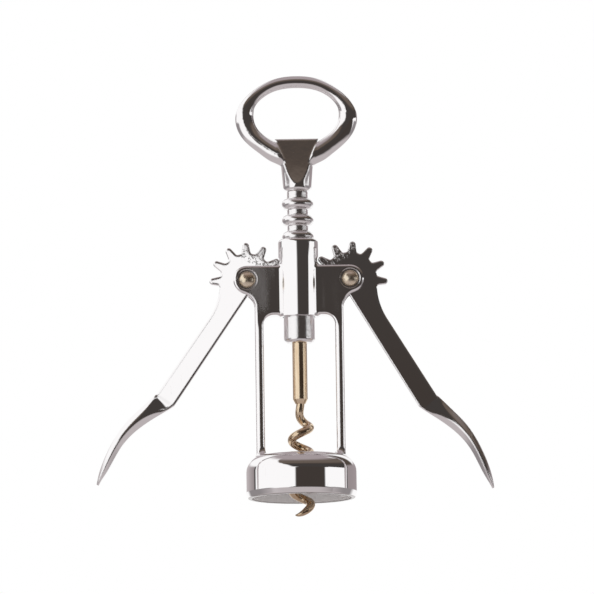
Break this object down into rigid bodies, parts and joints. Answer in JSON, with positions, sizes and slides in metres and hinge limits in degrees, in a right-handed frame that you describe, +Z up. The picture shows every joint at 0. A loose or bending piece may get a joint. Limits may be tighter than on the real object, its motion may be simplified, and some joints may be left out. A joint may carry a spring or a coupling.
{
  "type": "lever corkscrew",
  "caption": "Lever corkscrew: a finger ring with an opener tongue turns a spiral worm, and geared side levers lift it through a ringed rack in a frame that stands on the bottle by its bell.",
  "frame": {"origin": "centre of the bell's rim, in the plane that meets the bottle", "axes": "+Z up along the spindle, from the bell to the finger ring; +X towards the right lever seen from the front; the front faces -Y"},
  "size_m": [0.1524, 0.0428, 0.1715],
  "materials": {
    "chrome": "polished",
    "rivet": "polished",
    "worm": "polished"
  },
  "bodies": {
    "frame": {"frame": "chrome", "left_rivet": "rivet", "right_rivet": "rivet"},
    "left_lever": {"left_lever": "chrome"},
    "right_lever": {"right_lever": "chrome"},
    "rack": {"rack_sleeve": "chrome"},
    "handle": {"handle_ring": "chrome", "worm": "worm"}
  },
  "joints": [
    {"name": "rack_slide", "type": "slide", "parent": "frame", "child": "rack", "axis": [0, 0, 1], "range_m": [-0.018, 0.0055]},
    {"name": "left_pivot", "type": "hinge", "parent": "frame", "child": "left_lever", "pos_m": [-0.0198, 0, 0.0845], "axis": [0, 1, 0], "range_deg": [-26.2, 85]},
    {"name": "right_pivot", "type": "hinge", "parent": "frame", "child": "right_lever", "pos_m": [0.0198, 0, 0.0845], "axis": [0, -1, 0], "range_deg": [-26.2, 85]},
    {"name": "handle_spin", "type": "hinge", "parent": "rack", "child": "handle", "pos_m": [0, 0, 0.12], "axis": [0, 0, 1], "continuous": true}
  ],
  "couplings": [
    {"joint": "left_pivot", "follows": "rack_slide", "rad_per_m": -82.305},
    {"joint": "right_pivot", "follows": "rack_slide", "rad_per_m": -82.305}
  ]
}
